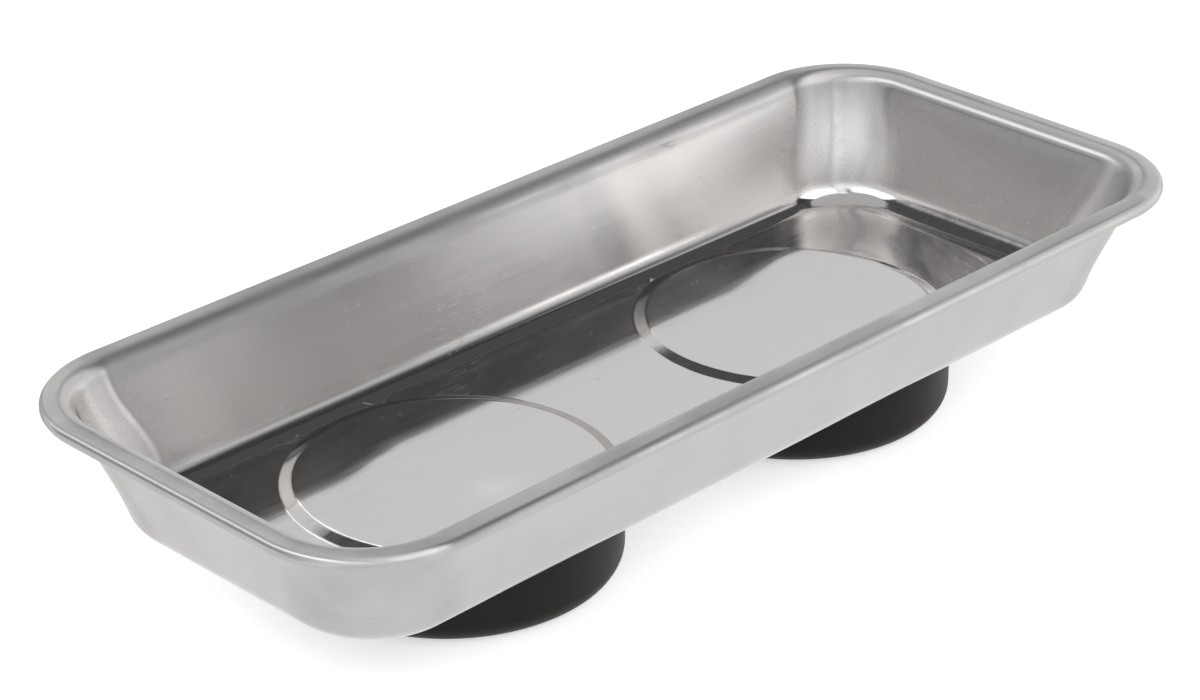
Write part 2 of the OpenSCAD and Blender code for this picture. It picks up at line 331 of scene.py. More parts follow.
@dataclass
class PressedPan:
    """The tray itself: one pressed sheet with a rolled rim, leaning walls and two raised discs."""

    length: float
    width: float
    rim_z: float
    under_z: float
    feet: Sequence[Pair]
    boot_r: float
    magnet_r: float
    disc_under_z: float
    sheet_t: float = 0.8 * MM
    rim_corner_r: float = 24 * MM
    pan_corner_r: float = 17.5 * MM
    flange_w: float = 6.4 * MM
    wall_lean: float = 6.9 * MM
    hem_r: float = 1.5 * MM
    hem_lip: float = 1.4 * MM
    flange_r: float = 17 * MM
    flange_fall_out: float = math.radians(5)
    flange_fall_in: float = math.radians(2)
    floor_bend_r: float = 6.9 * MM
    recess_fit: float = 0.8 * MM
    step_margin: float = 0.2 * MM
    patch_reach: float = 3.4 * MM
    roll_steps: int = 24
    dome_steps: int = 6
    flange_bend_steps: int = 16
    wall_steps: int = 24
    rim_fade_share: float = 1 / 3
    fillet_steps: int = 10
    blend: int = 3
    disc_steps: int = 168
    step_rings: int = 12
    disc_rings: tuple[float, ...] = (0.25, 0.5, 0.75, 0.92)
    point_margin: float = 0.4 * MM
    bend_loops: int = 6
    rim_satin: float = 1.0
    wall_satin: float = 0.5
    corner_satin: float = 0.85
    outline: PanOutline = field(init=False)
    step: DiscStep = field(init=False)

    def __post_init__(self) -> None:
        """Work out the outline and the step that the other sizes give."""
        self.outline = PanOutline(self.length / 2, self.width / 2)
        self.step = DiscStep(
            self.magnet_r + self.recess_fit,
            self.boot_r + self.step_margin,
            self.disc_under_z - self.under_z,
        )

    @property
    def depth(self) -> float:
        """Depth of the pan from the rim down to the floor."""
        return self.rim_z - self.under_z - self.sheet_t

    @property
    def lean(self) -> float:
        """Angle of the walls from the vertical."""
        return math.atan(self.wall_lean / self.depth)

    @property
    def floor_bend_in(self) -> float:
        """Inset of the centre of the bend between wall and floor."""
        offset = self.floor_bend_r * (1 / math.cos(self.lean) - math.tan(self.lean))
        return self.flange_w + self.wall_lean + offset

    @property
    def flange_top(self) -> Pair:
        """Centre of the flange's slight dome, as inset and height."""
        reach = (self.flange_r - self.hem_r) * math.sin(self.flange_fall_out)
        return (self.hem_r + reach, self.rim_z - self.flange_r)

    @property
    def hem_centre(self) -> Pair:
        """Centre of the rolled edge, as inset and height."""
        reach = self.flange_r - self.hem_r
        return (self.hem_r, self.flange_top[1] + reach * math.cos(self.flange_fall_out))

    @property
    def flange_bend_r(self) -> float:
        """Radius of the bend that takes the dome into the wall without a crease."""
        start = Vector(self.flange_top) + self.flange_r * self.out_of_sheet(self.flange_fall_in)
        wall_way = self.out_of_sheet(math.radians(90) - self.lean)
        gap = wall_way.dot(Vector((self.flange_w, self.rim_z - self.sheet_t)) - start)
        return gap / (1 - math.cos(math.radians(90) - self.lean - self.flange_fall_in))

    @property
    def flange_bend_centre(self) -> Pair:
        """Centre of the bend between flange and wall, as inset and height."""
        reach = self.flange_r - self.flange_bend_r
        centre = Vector(self.flange_top) + reach * self.out_of_sheet(self.flange_fall_in)
        return (centre.x, centre.y)

    @staticmethod
    def out_of_sheet(fall: float) -> Vector:
        """Way out of the seen face where it falls inwards by an angle, as inset and height."""
        return Vector((math.sin(fall), math.cos(fall)))

    @property
    def pan_corner_in(self) -> float:
        """Inset of the corners' centre at floor level."""
        return self.flange_w + self.wall_lean + self.pan_corner_r

    def skin(self, depth_in_sheet: float) -> list[Station]:
        """Stations of one face of the sheet, from the lip round the roll and down to the floor.

        Args:
            depth_in_sheet: 0 for the face that is seen from above, the thickness for its back.

        Returns:
            The stations, ending at the edge of the floor patch.
        """
        roll = self.hem_centre
        roll_r = self.hem_r - depth_in_sheet
        lip = (self.hem_r + self.hem_lip, roll[1] - roll_r)
        low_bend = (self.floor_bend_in, self.under_z + self.floor_bend_r)
        low_r = self.floor_bend_r - self.sheet_t + depth_in_sheet
        right, half = math.radians(90), math.radians(180)
        fall_out, fall_in = right + self.flange_fall_out, right - self.flange_fall_in
        rim = [lip, *arc(roll, roll_r, half + right, fall_out, self.roll_steps)]
        dome_r, bend_r = self.flange_r - depth_in_sheet, self.flange_bend_r - depth_in_sheet
        rim += arc(self.flange_top, dome_r, fall_out, fall_in, self.dome_steps)[1:]
        bend = arc(self.flange_bend_centre, bend_r, fall_in, self.lean, self.flange_bend_steps)
        rim += bend[1:]
        foot = half + math.acos(self.patch_reach / low_r)
        fillet = arc(low_bend, low_r, half + self.lean, foot, self.fillet_steps)
        wall = straight(bend[-1], fillet[0], self.wall_steps)
        stations = [Station(i, z, self.rim_corner_r, self.rim_satin) for i, z in rim]
        top, low = bend[-1][1], fillet[0][1]
        for i, z in wall:
            share = (top - z) / (top - low)
            corner = self.rim_corner_r + (self.pan_corner_in - self.rim_corner_r) * rounded_step(share)
            fade = 1 - rounded_step(share * len(wall) * self.rim_fade_share)
            satin = self.wall_satin + (self.rim_satin - self.wall_satin) * fade
            stations.append(Station(i, z, corner, satin))
        for step, (i, z) in enumerate(fillet):
            satin = self.wall_satin * (1 - rounded_step(step / (len(fillet) - 1)))
            stations.append(Station(i, z, self.pan_corner_in, satin))
        return stations

    def floor_height(self, x: float, y: float, depth_in_sheet: float) -> float:
        """Height of the floor's face, with its discs and the last of the bend round it.

        Args:
            x: Place along the tray.
            y: Place across the tray.
            depth_in_sheet: 0 for the face that is seen from above, the thickness for its back.

        Returns:
            The height above the ground.
        """
        low_r = self.floor_bend_r - self.sheet_t + depth_in_sheet
        way_up = max(0.0, self.floor_bend_in - self.outline.inset_of(x, y, self.pan_corner_in))
        rise = low_r - math.sqrt(low_r * low_r - way_up * way_up)
        disc = max(self.step.height(math.hypot(x - fx, y - fy)) for fx, fy in self.feet)
        joined = (rise**self.blend + disc**self.blend) ** (1 / self.blend)
        return self.under_z + self.sheet_t - depth_in_sheet + joined

    def floor_grid(self) -> list[Pair]:
        """Places of the floor's inner points: rings round the discs and loops inside the bend."""
        margin = self.point_margin
        outer_in = self.floor_bend_in - self.patch_reach
        places: list[Pair] = []
        width = self.step.outer_r - self.step.inner_r
        radii = [self.step.inner_r + width * (i / self.step_rings) for i in range(self.step_rings + 1)]
        radii += [self.step.inner_r - margin, self.step.outer_r + margin]
        radii += [self.step.inner_r * share for share in self.disc_rings]
        for fx, fy in self.feet:
            for radius in radii:
                count = self.disc_steps if radius > 0.9 * self.step.inner_r else self.disc_steps // 4
                for i in range(count):
                    a = math.tau * i / count
                    x, y = fx + radius * math.cos(a), fy + radius * math.sin(a)
                    if self.outline.inset_of(x, y, self.pan_corner_in) > outer_in + margin:
                        places.append((x, y))
            places.append((fx, fy))
        clear = self.step.outer_r + 2 * margin
        for loop in range(1, self.bend_loops + 2):
            inset = outer_in + self.patch_reach * loop / self.bend_loops
            for p in self.outline.loop(Station(inset, 0.0, self.pan_corner_in)):
                if all(math.hypot(p.x - fx, p.y - fy) > clear for fx, fy in self.feet):
                    places.append((p.x, p.y))
        return places

    def fill_floor(self, draft: MeshDraft, edge: Sequence[int], depth_in_sheet: float) -> None:
        """Close one face of the sheet with the floor and its two raised discs.

        Args:
            draft: Draft that takes the floor.
            edge: Loop of vertices where the bend ends.
            depth_in_sheet: 0 for the face that is seen from above, the thickness for its back.
        """
        places = self.floor_grid()
        flat = [draft.points[i].to_2d() for i in edge] + [Vector(p) for p in places]
        inner = [Vector((x, y, self.floor_height(x, y, depth_in_sheet))) for x, y in places]
        indices = list(edge) + draft.add(inner)
        whole_loop = [list(range(len(edge)))]
        inside_only = 1
        found = delaunay_2d_cdt(flat, [], whole_loop, inside_only, 1e-9)
        origins = found[3]
        for face in found[2]:
            draft.faces.append([indices[origins[v][0]] for v in face])

    def build(self) -> bpy.types.Object:
        """Build the whole pressed sheet as one closed mesh."""
        draft = MeshDraft()
        cornering = self.outline.cornering()
        skins = []
        for depth_in_sheet in (0.0, self.sheet_t):
            loops = []
            for station in self.skin(depth_in_sheet):
                cornered = self.corner_satin * rounded_step(station.satin / self.wall_satin)
                satin = [max(station.satin, cornered * c) for c in cornering]
                loops.append(draft.add(self.outline.loop(station), satin))
            for one, other in zip(loops, loops[1:]):
                draft.bridge(one, other)
            self.fill_floor(draft, loops[-1], depth_in_sheet)
            skins.append(loops)
        draft.bridge(skins[0][0], skins[1][0])
        return draft.build("tray_pan")


@dataclass
class RubberBoot:
    """Moulded boot that grips one ring magnet and that the tray stands on."""

    side: str
    axis: Pair
    outer_r: float
    pan: PressedPan
    edge_r: float = 4.5 * MM
    floor_t: float = 2.4 * MM
    wall_t: float = 3.4 * MM
    lining_t: float = 1.4 * MM
    dish_r: float = 14.2 * MM
    web_z: float = 9.8 * MM
    hole_r: float = 2.75 * MM
    lip_r: float = 0.5 * MM
    steps: int = 160
    edge_steps: int = 14
    side_steps: int = 6
    top_steps: int = 10
    lip_steps: int = 6

    def section(self) -> list[Pair]:
        """Closed section of the boot, as radius and height."""
        right, half = math.radians(90), math.radians(180)
        outer, lip = self.outer_r, self.lip_r
        well_r = self.dish_r - self.lining_t
        cavity_r = outer - self.wall_t
        under, step = self.pan.under_z, self.pan.step
        top = under + step.rise
        points = arc((outer - self.edge_r, self.edge_r), self.edge_r, -right, 0, self.edge_steps)
        points += straight(points[-1], (outer, under), self.side_steps)
        inward = (outer - step.inner_r) / self.top_steps
        radii = [outer - inward * i for i in range(self.top_steps + 1)]
        points += [(r, under + step.height(r)) for r in radii]
        points += [(cavity_r, top), (cavity_r, self.floor_t), (self.dish_r, self.floor_t)]
        points += [(self.dish_r, self.web_z), (self.hole_r, self.web_z)]
        points += [(self.hole_r, self.web_z - self.lining_t), (well_r, self.web_z - self.lining_t)]
        points += arc((well_r + lip, lip), lip, half, half + right, self.lip_steps)
        return points

    def build(self) -> bpy.types.Object:
        """Build the boot as one closed mesh."""
        draft = MeshDraft()
        lathe(draft, self.section(), self.axis, self.steps)
        return draft.build(f"{self.side}_boot")


@dataclass
class ThreadedStud:
    """Weld stud of one foot, with the rolled thread that the CAD solid leaves plain."""

    side: str
    axis: Pair
    low_z: float
    high_z: float
    radius: float = 2.5 * MM
    flange_r: float = 3.5 * MM
    flange_t: float = 0.8 * MM
    pitch: float = 0.8 * MM
    thread_depth: float = 0.46 * MM
    point: float = 0.5 * MM
    steps: int = 36
    rings_per_turn: int = 8

    def thread_radius(self, angle: float, height: float) -> float:
        """Radius of the thread's surface.

        Args:
            angle: Angle round the stud, in radians.
            height: Height above the stud's lower end.

        Returns:
            The radius, between the thread's root and its crest.
        """
        phase = (height / self.pitch - angle / math.tau) % 1.0
        crest = min(1.0, max(0.0, 1.5 - abs(phase - 0.5) * 4))
        run_out = min(1.0, height / self.point)
        return self.radius - self.thread_depth * (1 - crest * run_out)

    def build(self) -> bpy.types.Object:
        """Build the stud as one closed mesh."""
        draft = MeshDraft()
        turns = [math.tau * i / self.steps for i in range(self.steps)]
        seat_z = self.high_z - self.flange_t
        count = round((seat_z - self.low_z) / self.pitch * self.rings_per_turn)
        loops = []
        for i in range(count + 1):
            z = self.low_z + (seat_z - self.low_z) * i / count
            radii = [self.thread_radius(a, z - self.low_z) for a in turns]
            loops.append(self.ring(draft, turns, radii, z))
        for radius, z in ((self.flange_r, seat_z), (self.flange_r, self.high_z)):
            loops.append(self.ring(draft, turns, [radius] * self.steps, z))
        for one, other in zip(loops, loops[1:]):
            draft.bridge(one, other)
        draft.faces.append(loops[0])
        draft.faces.append(loops[-1])
        return draft.build(f"{self.side}_threaded_stud")

    def ring(self, draft: MeshDraft, turns: Sequence[float], radii: Sequence[float], z: float) -> list[int]:
        """Add one ring of points to the stud.

        Args:
            draft: Draft that takes the points.
            turns: Angles of the points, in radians.
            radii: Radius at each of the angles.
            z: Height of the ring.

        Returns:
            Indices of the new points.
        """
        x, y = self.axis
        ring = [Vector((x + r * math.cos(a), y + r * math.sin(a), z)) for a, r in zip(turns, radii)]
        return draft.add(ring)


class NodeSketch:
    """Short way to add and join the nodes of one tree."""

    def __init__(self, tree: bpy.types.NodeTree) -> None:
        """Work on a tree.

        Args:
            tree: Tree that takes the nodes.
        """
        self.tree = tree

    def add(self, kind: str, **settings: object) -> bpy.types.Node:
        """Add a node.

        Args:
            kind: Blender's name for the kind of node.
            settings: Properties to set on it.

        Returns:
            The new node.
        """
        node = self.tree.nodes.new(kind)
        for name, value in settings.items():
            setattr(node, name, value)
        return node

    def feed(self, socket: bpy.types.NodeSocket, value: object) -> None:
        """Join a socket to another one, or set it to a plain value.

        Args:
            socket: Input that takes the value.
            value: Output socket, number or sequence of numbers.
        """
        if isinstance(value, bpy.types.NodeSocket):
            self.tree.links.new(value, socket)
        else:
            socket.default_value = value

    def calc(self, operation: str, *values: object, clamp: bool = False) -> bpy.types.NodeSocket:
        """Add a Math node.

        Args:
            operation: Blender's name for the operation.
            values: Its inputs, as sockets or numbers.
            clamp: Whether the result is held between 0 and 1.

        Returns:
            The result.
        """
        node = self.add("ShaderNodeMath", operation=operation, use_clamp=clamp)
        for socket, value in zip(node.inputs, values):
            self.feed(socket, value)
        return node.outputs[0]

    def times(self, value: object, factor: object) -> bpy.types.NodeSocket:
        """Multiply a value by a factor."""
        return self.calc("MULTIPLY", value, factor)

    def swing(self, value: object, amount: float) -> bpy.types.NodeSocket:
        """Turn a value that lies about 0.5 into one that lies about 0, over an amount in all."""
        return self.times(self.calc("SUBTRACT", value, 0.5), amount)

    def total(self, *values: object) -> bpy.types.NodeSocket:
        """Add up sockets and numbers."""
        result = values[0]
        for value in values[1:]:
            result = self.calc("ADD", result, value)
        return result

    def ease(self, value: object, start: object, end: object) -> bpy.types.NodeSocket:
        """Ease a value from 0 at one bound to 1 at the other.

        Args:
            value: Value to ease.
            start: Bound that gives 0.
            end: Bound that gives 1.

        Returns:
            The eased share.
        """
        node = self.add("ShaderNodeMapRange", interpolation_type="SMOOTHSTEP")
        for name, given in (("Value", value), ("From Min", start), ("From Max", end)):
            self.feed(node.inputs[name], given)
        return node.outputs["Result"]

    def noise(self, place: object, scale: object, detail: float = 0.0) -> bpy.types.NodeSocket:
        """Add a noise texture.

        Args:
            place: Place that the noise is read at.
            scale: Repeats per metre.
            detail: Number of finer layers.

        Returns:
            The noise, about 0.5 on average.
        """
        node = self.add("ShaderNodeTexNoise")
        for name, given in (("Vector", place), ("Scale", scale), ("Detail", detail)):
            self.feed(node.inputs[name], given)
        return node.outputs["Fac"]

    def vector(self, operation: str, *values: object) -> bpy.types.Node:
        """Add a Vector Math node.

        Args:
            operation: Blender's name for the operation.
            values: Its inputs, as sockets, numbers or vectors.

        Returns:
            The node, for its Vector or Value output.
        """
        node = self.add("ShaderNodeVectorMath", operation=operation)
        for socket, value in zip(node.inputs, values):
            self.feed(socket, value)
        return node

    def blend(self, share: object, one: object, other: object) -> bpy.types.NodeSocket:
        """Blend two colours.

        Args:
            share: Share of the second colour.
            one: First colour.
            other: Second colour.

        Returns:
            The blended colour.
        """
        node = self.add("ShaderNodeMix", data_type="RGBA")
        for name, given in (("Factor_Float", share), ("A_Color", one), ("B_Color", other)):
            socket = next(s for s in node.inputs if s.identifier == name)
            self.feed(socket, given)
        return next(s for s in node.outputs if s.identifier == "Result_Color")

    def effect(self, group: bpy.types.NodeTree, **inputs: object) -> bpy.types.NodeSocket:
        """Place a shared effect.

        Args:
            group: Node group of the effect.
            inputs: Its inputs by name, with _ for each space.

        Returns:
            The effect's output.
        """
        node = self.add("ShaderNodeGroup", node_tree=group)
        for name, value in inputs.items():
            self.feed(node.inputs[name.replace("_", " ")], value)
        return node.outputs[0]


class SharedEffects:
    """Node groups of the surface effects, each built once."""

    def __init__(self) -> None:
        """Build every effect."""
        makers = {
            Effect.GRAIN: self.grain,
            Effect.SCRATCHES: self.scratches,
            Effect.SPECKS: self.specks,
            Effect.MOTTLE: self.mottle,
            Effect.WEAR: self.wear,
            Effect.PATCH: self.patch,
        }
        self.groups = {effect: make(effect.value) for effect, make in makers.items()}

    def __getitem__(self, effect: Effect) -> bpy.types.NodeTree:
        """Give the node group of an effect."""
        return self.groups[effect]

    @staticmethod
    def start(name: str, output: str, **inputs: float) -> tuple[NodeSketch, dict, bpy.types.NodeSocket]:
        """Start a node group.

        Args:
            name: Name of the group.
            output: Name of its one output.
            inputs: Its inputs by name, with _ for each space; a vector where the value is not a number.

        Returns:
            The sketch, the group's inputs by their names here, and the socket that takes the result.
        """
        tree = bpy.data.node_groups.new(name, "ShaderNodeTree")
        tree.interface.new_socket(output, in_out="OUTPUT", socket_type="NodeSocketFloat")
        for label, value in inputs.items():
            kind = "NodeSocketFloat" if isinstance(value, (int, float)) else "NodeSocketVector"
            socket = tree.interface.new_socket(label.replace("_", " "), in_out="INPUT", socket_type=kind)
            socket.default_value = value
        sketch = NodeSketch(tree)
        entry, leave = sketch.add("NodeGroupInput"), sketch.add("NodeGroupOutput")
        given = {label: entry.outputs[label.replace("_", " ")] for label in inputs}
        return sketch, given, leave.inputs[output]

    @staticmethod
    def drawn_out(sketch: NodeSketch, place: object, stretch: object) -> bpy.types.NodeSocket:
        """Squeeze a place along X, so that what is drawn there comes out long.

        Args:
            sketch: Sketch of the group's tree.
            place: Place to squeeze.
            stretch: How many times as long it comes out.

        Returns:
            The squeezed place.
        """
        squeeze = sketch.add("ShaderNodeCombineXYZ")
        for axis, value in (("X", sketch.calc("DIVIDE", 1.0, stretch)), ("Y", 1), ("Z", 1)):
            sketch.feed(squeeze.inputs[axis], value)
        return sketch.vector("MULTIPLY", place, squeeze.outputs[0]).outputs["Vector"]

    def grain(self, name: str) -> bpy.types.NodeTree:
        """Build the grain that rolling leaves, long along X and fine across it."""
        sketch, given, result = self.start(name, "Grain", Place=(0, 0, 0), Lines_per_metre=2500, Stretch=40)
        place = self.drawn_out(sketch, given["Place"], given["Stretch"])
        sketch.feed(result, sketch.noise(place, given["Lines_per_metre"], 1.0))
        return sketch.tree

    def scratches(self, name: str) -> bpy.types.NodeTree:
        """Build thin scratches that all run about one way, with gaps between them."""
        sketch, given, result = self.start(
            name, "Scratches", Place=(0, 0, 0), Turn=0.0, Lines_per_metre=600, Stretch=18,
            Width=0.012, Share=0.4,
        )
        turn = sketch.add("ShaderNodeVectorRotate", rotation_type="Z_AXIS")
        sketch.feed(turn.inputs["Vector"], given["Place"])
        sketch.feed(turn.inputs["Angle"], given["Turn"])
        place = self.drawn_out(sketch, turn.outputs[0], given["Stretch"])
        lines = sketch.noise(place, given["Lines_per_metre"], 0.0)
        off = sketch.calc("ABSOLUTE", sketch.calc("SUBTRACT", lines, 0.5))
        line = sketch.ease(off, given["Width"], 0.0)
        gaps = sketch.noise(turn.outputs[0], sketch.times(given["Lines_per_metre"], 0.35), 1.0)
        bar = sketch.calc("SUBTRACT", 0.72, sketch.times(given["Share"], 0.4))
        gate = sketch.ease(gaps, bar, sketch.calc("ADD", bar, 0.06))
        sketch.feed(result, sketch.calc("MULTIPLY", line, gate))
        return sketch.tree

    def specks(self, name: str) -> bpy.types.NodeTree:
        """Build small specks, such as dust, pits or spots, thrown over the surface."""
        sketch, given, result = self.start(
            name, "Specks", Place=(0, 0, 0), Cells_per_metre=400, Size=0.16, Share=0.2
        )
        cells = sketch.add("ShaderNodeTexVoronoi", feature="F1")
        sketch.feed(cells.inputs["Vector"], given["Place"])
        sketch.feed(cells.inputs["Scale"], given["Cells_per_metre"])
        parts = sketch.add("ShaderNodeSeparateColor")
        sketch.feed(parts.inputs[0], cells.outputs["Color"])
        size = sketch.calc("MULTIPLY", given["Size"], sketch.calc("ADD", parts.outputs[1], 0.3))
        spot = sketch.ease(cells.outputs["Distance"], size, sketch.calc("MULTIPLY", size, 0.4))
        chosen = sketch.calc("LESS_THAN", parts.outputs[0], given["Share"])
        sketch.feed(result, sketch.calc("MULTIPLY", spot, chosen))
        return sketch.tree

    def mottle(self, name: str) -> bpy.types.NodeTree:
        """Build soft blotches, such as finger marks, passivation or a bloom on rubber."""
        sketch, given, result = self.start(
            name, "Mottle", Place=(0, 0, 0), Blotches_per_metre=60, Contrast=0.2
        )
        blotch = sketch.noise(given["Place"], given["Blotches_per_metre"], 3.0)
        low = sketch.calc("SUBTRACT", 0.5, given["Contrast"])
        sketch.feed(result, sketch.ease(blotch, low, sketch.calc("ADD", 0.5, given["Contrast"])))
        return sketch.tree

    def wear(self, name: str) -> bpy.types.NodeTree:
        """Build the bright or rubbed line that handling leaves along edges."""
        sketch, given, result = self.start(name, "Wear", Place=(0, 0, 0), Reach=0.0004, Breakup_per_metre=900)
        bevel = sketch.add("ShaderNodeBevel", samples=4)
        sketch.feed(bevel.inputs["Radius"], given["Reach"])
        true = sketch.add("ShaderNodeNewGeometry")
        match = sketch.vector("DOT_PRODUCT", bevel.outputs[0], true.outputs["Normal"]).outputs["Value"]
        edge = sketch.ease(match, 0.995, 0.93)
        broken = sketch.noise(given["Place"], given["Breakup_per_metre"], 2.0)
        sketch.feed(result, sketch.calc("MULTIPLY", edge, sketch.ease(broken, 0.3, 0.6)))
        return sketch.tree

    def patch(self, name: str) -> bpy.types.NodeTree:
        """Build a soft-edged patch round one place of the surface."""
        sketch, given, result = self.start(
            name, "Patch", Place=(0, 0, 0), Middle=(0, 0, 0), Reach=0.005, Softness=0.5
        )
        away = sketch.vector("DISTANCE", given["Place"], given["Middle"]).outputs["Value"]
        full = sketch.calc("MULTIPLY", given["Reach"], sketch.calc("SUBTRACT", 1.0, given["Softness"]))
        sketch.feed(result, sketch.ease(away, given["Reach"], full))
        return sketch.tree


@dataclass(frozen=True)
class HandlingMark:
    """Small mark that use has left in one place of the steel."""

    effect: Effect
    middle: Triple
    reach: float
    turn: float = 0.0
    weight: float = 1.0


MARKS = (
    HandlingMark(Effect.SCRATCHES, (-118.5 * MM, 28 * MM, 45.2 * MM), 11 * MM, 0.9),
    HandlingMark(Effect.SPECKS, (-41 * MM, 28.5 * MM, 19.2 * MM), 4.5 * MM),
    HandlingMark(Effect.SCRATCHES, (-80 * MM, -12 * MM, 19.0 * MM), 9 * MM, 0.6, 0.6),
    HandlingMark(Effect.SCRATCHES, (56 * MM, 45.2 * MM, 44.6 * MM), 4 * MM, 0.1),
    HandlingMark(Effect.SCRATCHES, (-10 * MM, 40.6 * MM, 27.0 * MM), 9 * MM),
    HandlingMark(Effect.SCRATCHES, (109.4 * MM, 0, 30.0 * MM), 9 * MM, math.radians(90), 0.6),
    HandlingMark(Effect.SPECKS, (-14.3 * MM, 38.6 * MM, 21.1 * MM), 3 * MM),
    HandlingMark(Effect.SPECKS, (-93.5 * MM, -45 * MM, 44.6 * MM), 3 * MM),
)


class SurfaceSketch(NodeSketch):
    """Sketch of one material: its tree, its shader and the place on its surface."""

    def __init__(self, finish: Finish, effects: SharedEffects) -> None:
        """Start the material of a finish.

        Args:
            finish: Finish that names it.
            effects: Shared node groups.
        """
        self.made = bpy.data.materials.new(f"{finish.value}_finish")
        self.made.use_nodes = True
        super().__init__(self.made.node_tree)
        self.shader = self.tree.nodes["Principled BSDF"]
        self.effects = effects
        self.place = self.add("ShaderNodeTexCoord").outputs["Object"]

    def show(self, effect: Effect, **inputs: object) -> bpy.types.NodeSocket:
        """Place a shared effect on the surface.

        Args:
            effect: The effect.
            inputs: Its inputs by name, with _ for each space, apart from its place.

        Returns:
            The effect's mask.
        """
        return self.effect(self.effects[effect], Place=self.place, **inputs)

    def set(self, **values: object) -> None:
        """Set inputs of the shader, by name with _ for each space."""
        for name, value in values.items():
            self.feed(self.shader.inputs[name.replace("_", " ")], value)

    def colour(self, base: Triple, *layers: tuple[object, Triple]) -> None:
        """Colour the surface.

        Args:
            base: Colour of the bare surface.
            layers: Mask and colour of each layer over it, the lowest first.
        """
        tone = (*base, 1)
        for mask, over in layers:
            tone = self.blend(mask, tone, (*over, 1))
        self.set(Base_Color=tone)

    def relief(self, *heights: bpy.types.NodeSocket) -> None:
        """Let heights in metres above the mesh shape the shader's normals."""
        bump = self.add("ShaderNodeBump")
        bump.inputs["Distance"].default_value = 1.0
        self.feed(bump.inputs["Height"], self.total(*heights))
        self.set(Normal=bump.outputs[0])


